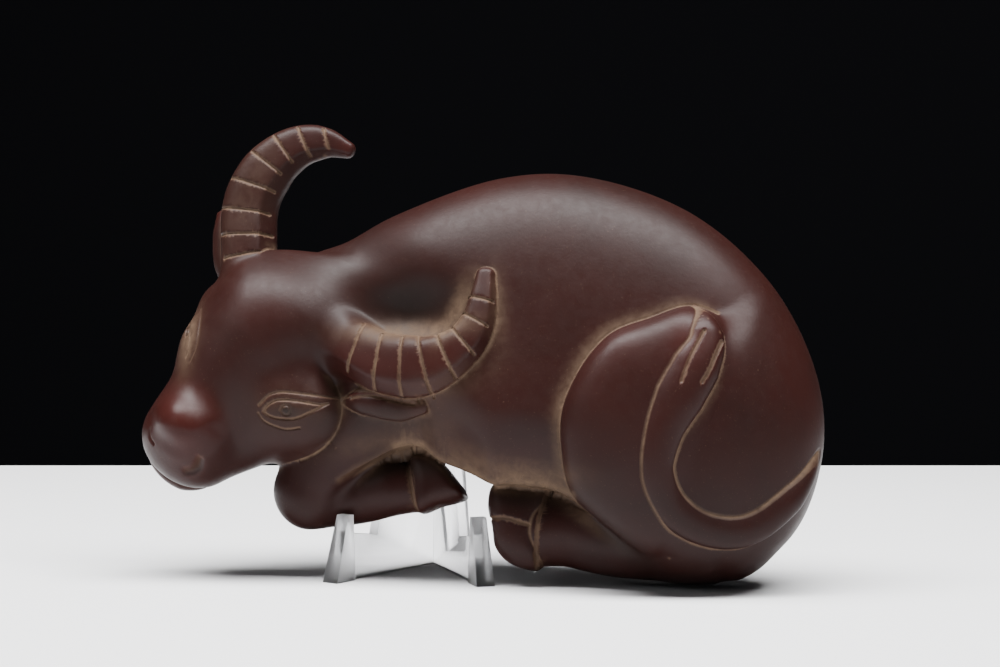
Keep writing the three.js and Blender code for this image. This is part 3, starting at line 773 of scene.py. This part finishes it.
def remap(nodes, links, value, low, high, to_low, to_high):
    span = nodes.new("ShaderNodeMapRange")
    for socket, number in (("From Min", low), ("From Max", high), ("To Min", to_low), ("To Max", to_high)):
        span.inputs[socket].default_value = number
    links.new(value, span.inputs["Value"])
    return span.outputs["Result"]


def blend_colour(nodes, links, share, first, second):
    mix = nodes.new("ShaderNodeMix")
    mix.data_type = "RGBA"
    for socket, value in ((6, first), (7, second)):
        if isinstance(value, tuple):
            mix.inputs[socket].default_value = (*value, 1)
        else:
            links.new(value, mix.inputs[socket])
    links.new(share, mix.inputs[0])
    return mix.outputs[2]


def combine(nodes, links, operation, first, second):
    step = nodes.new("ShaderNodeMath")
    step.operation = operation
    step.use_clamp = operation in ("ADD", "SUBTRACT")
    for socket, value in ((0, first), (1, second)):
        if isinstance(value, (int, float)):
            step.inputs[socket].default_value = value
        else:
            links.new(value, step.inputs[socket])
    return step.outputs[0]


CLAY_RED = (0.0165, 0.0046, 0.0037)
CLAY_BROWN = (0.0118, 0.0044, 0.0037)
CLAY_RUBBED = (0.031, 0.0066, 0.0053)
CLAY_DUST = (0.110, 0.072, 0.046)
# Darker grey-brown used as painted shade in crevices and cuts, and as painted shade with grime in the hollow.
CLAY_GRIME_AND_SHADE = (0.0105, 0.0066, 0.0052)


def held_on(nodes, name):
    held = nodes.new("ShaderNodeAttribute")
    held.attribute_name = name
    return held.outputs["Fac"]


def fired_clay():
    material, nodes, links, shader = new_material("fired_clay")
    place = nodes.new("ShaderNodeTexCoord").outputs["Object"]
    rub = held_on(nodes, "rubbed")
    clouds = scaled_noise(nodes, links, place, 28, 4, 0.55, 0.6)
    grain = scaled_noise(nodes, links, place, 1400, 3, 0.6)
    speckle = scaled_noise(nodes, links, place, 2600, 2, 0.7)
    patches = scaled_noise(nodes, links, place, 420, 5, 0.65, 0.4)
    base = blend_colour(nodes, links, remap(nodes, links, clouds, 0.35, 0.68, 0, 1), CLAY_RED, CLAY_BROWN)
    base = blend_colour(nodes, links, combine(nodes, links, "MULTIPLY", rub, 0.7), base, CLAY_RUBBED)
    # Painted shade, partly real grime: the darker colour is blended in where the spots of shade and grime lie.
    base = blend_colour(nodes, links, combine(nodes, links, "MULTIPLY", held_on(nodes, "grime_and_shade"), 0.8), base, CLAY_GRIME_AND_SHADE)
    base = blend_colour(nodes, links, remap(nodes, links, speckle, 0.66, 0.78, 0, 0.4), base, CLAY_DUST)
    uneven = remap(nodes, links, patches, 0.3, 0.62, 0.45, 1)
    settled = combine(nodes, links, "MULTIPLY", held_on(nodes, "dust"), uneven)
    base = blend_colour(nodes, links, settled, base, CLAY_DUST)
    links.new(base, shader.inputs["Base Color"])
    gloss = remap(nodes, links, patches, 0.3, 0.7, 0.38, 0.48)
    gloss = combine(nodes, links, "SUBTRACT", gloss, combine(nodes, links, "MULTIPLY", rub, 0.09))
    gloss = combine(nodes, links, "ADD", gloss, combine(nodes, links, "MULTIPLY", settled, 0.4))
    links.new(gloss, shader.inputs["Roughness"])
    shader.inputs["Specular IOR Level"].default_value = 0.10
    height = combine(nodes, links, "MULTIPLY_ADD", grain, 0.6)
    links.new(patches, height.node.inputs[2])
    bump = nodes.new("ShaderNodeBump")
    bump.inputs["Strength"].default_value = 0.25
    bump.inputs["Distance"].default_value = 0.00012
    links.new(height, bump.inputs["Height"])
    links.new(bump.outputs["Normal"], shader.inputs["Normal"])
    return material


figure.data.materials.clear()
figure.data.materials.append(fired_clay())
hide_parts("buffalo_figure")
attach(figure, "root")

# Display easel: clear acrylic in one moulding, two leaves that meet at an upright edge, each with a ledge and a lip.
# It stands loose under the forelegs. Its broad faces are clear, and its narrow edges are a little frosted.
EDGE_BREAK = 0.00025
NARROW = 0.009
easel = own_copy("display_easel", "clear_easel")
bpy.ops.object.mode_set(mode="EDIT")
bpy.ops.mesh.select_all(action="SELECT")
bpy.ops.mesh.dissolve_limited(angle_limit=math.radians(2))
bpy.ops.object.mode_set(mode="OBJECT")


def clear_acrylic(name, smooth, rough):
    material, nodes, links, shader = new_material(name)
    place = nodes.new("ShaderNodeTexCoord").outputs["Object"]
    shader.inputs["Base Color"].default_value = (0.97, 0.97, 0.98, 1)
    shader.inputs["Transmission Weight"].default_value = 1.0
    shader.inputs["IOR"].default_value = 1.49
    smear = scaled_noise(nodes, links, place, 160, 3, 0.6, 1.0)
    links.new(remap(nodes, links, smear, 0.35, 0.75, smooth, rough), shader.inputs["Roughness"])
    ripple = scaled_noise(nodes, links, place, 60, 2)
    bump = nodes.new("ShaderNodeBump")
    bump.inputs["Strength"].default_value = 0.15
    bump.inputs["Distance"].default_value = 0.0002
    links.new(ripple, bump.inputs["Height"])
    links.new(bump.outputs["Normal"], shader.inputs["Normal"])
    return material


easel.data.materials.clear()
easel.data.materials.append(clear_acrylic("clear_acrylic", 0.015, 0.07))
easel.data.materials.append(clear_acrylic("frosted_acrylic", 0.3, 0.5))
for face in easel.data.polygons:
    corners = [easel.data.vertices[index].co for index in face.vertices]
    longest = max((a - b).length for a in corners for b in corners)
    face.material_index = 1 if face.area / longest < NARROW else 0
broken = easel.modifiers.new("broken edges", "BEVEL")
broken.width = EDGE_BREAK
broken.segments = 2
broken.limit_method = "ANGLE"
broken.angle_limit = math.radians(35)
bpy.ops.object.modifier_apply(modifier=broken.name)
bpy.ops.object.shade_smooth_by_angle(angle=math.radians(35))
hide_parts("display_easel")
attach(easel, "root")

# Table: a plain pale top that ends a little way behind the figure, before a plain dark cloth. The table is
# turned square to the camera, which looks a little from the right.
VIEW_TURN = math.radians(8.5)
bpy.ops.mesh.primitive_plane_add(size=1)
table = bpy.context.object
table.name = "table"
table.scale = (3.2, 1.96, 1)
table.location = (0.11, -0.72, 0)
table.rotation_euler = (0, 0, VIEW_TURN)
bpy.ops.object.transform_apply(location=True, rotation=True, scale=True)
table_paint, table_nodes, table_links, table_shader = new_material("pale_table")
table_shader.inputs["Base Color"].default_value = (0.72, 0.72, 0.73, 1)
table_shader.inputs["Roughness"].default_value = 0.6
table.data.materials.append(table_paint)
bpy.ops.mesh.primitive_plane_add(size=1)
cloth = bpy.context.object
cloth.name = "dark_cloth"
cloth.rotation_euler = (math.radians(90), 0, 0)
cloth.scale = (6, 4, 1)
cloth.location = (0, 1.4, 0.6)
bpy.ops.object.transform_apply(location=True, rotation=True, scale=True)
cloth_dye, cloth_nodes, cloth_links, cloth_shader = new_material("black_cloth")
cloth_shader.inputs["Base Color"].default_value = (0.006, 0.006, 0.007, 1)
cloth_shader.inputs["Roughness"].default_value = 1.0
cloth_shader.inputs["Specular IOR Level"].default_value = 0.0
cloth.data.materials.append(cloth_dye)

# Soft studio light: one wide lamp overhead, which draws the long highlight on the back, and a weak one at the
# front left, in a dim pale room.
room = bpy.data.worlds.new("room")
room.use_nodes = True
room.node_tree.nodes["Background"].inputs["Color"].default_value = (0.80, 0.82, 0.86, 1)
room.node_tree.nodes["Background"].inputs["Strength"].default_value = 0.08
bpy.context.scene.world = room


def soft_lamp(name, place, aim, size, watts):
    bpy.ops.object.light_add(type="AREA", location=place)
    lamp = bpy.context.object
    lamp.name = name
    lamp.data.shape = "RECTANGLE"
    lamp.data.size, lamp.data.size_y = size
    lamp.data.energy = watts
    lamp.rotation_euler = (Vector(aim) - Vector(place)).to_track_quat("-Z", "Y").to_euler()


soft_lamp("overhead", (0, -0.14, 0.75), (0, 0, 0), (1.1, 0.28), 39)
soft_lamp("front_fill", (-0.9, -0.7, 0.55), (0, 0, 0.04), (0.5, 0.5), 1.6)

# Camera: a long lens just above the table, a little to the right of square on.
AIM = (EASEL_EDGE + [19.97, -25, 58.1]) / 1000
AWAY = 0.555
HEIGHT = math.radians(2.92)
bpy.ops.object.camera_add()
camera = bpy.context.object
camera.data.sensor_width = 36
camera.data.lens = 85
towards = Vector((-math.sin(VIEW_TURN) * math.cos(HEIGHT), math.cos(VIEW_TURN) * math.cos(HEIGHT), -math.sin(HEIGHT)))
camera.location = Vector(AIM) - AWAY * towards
camera.rotation_euler = towards.to_track_quat("-Z", "Y").to_euler()
camera.data.clip_start = 0.01
bpy.context.scene.camera = camera
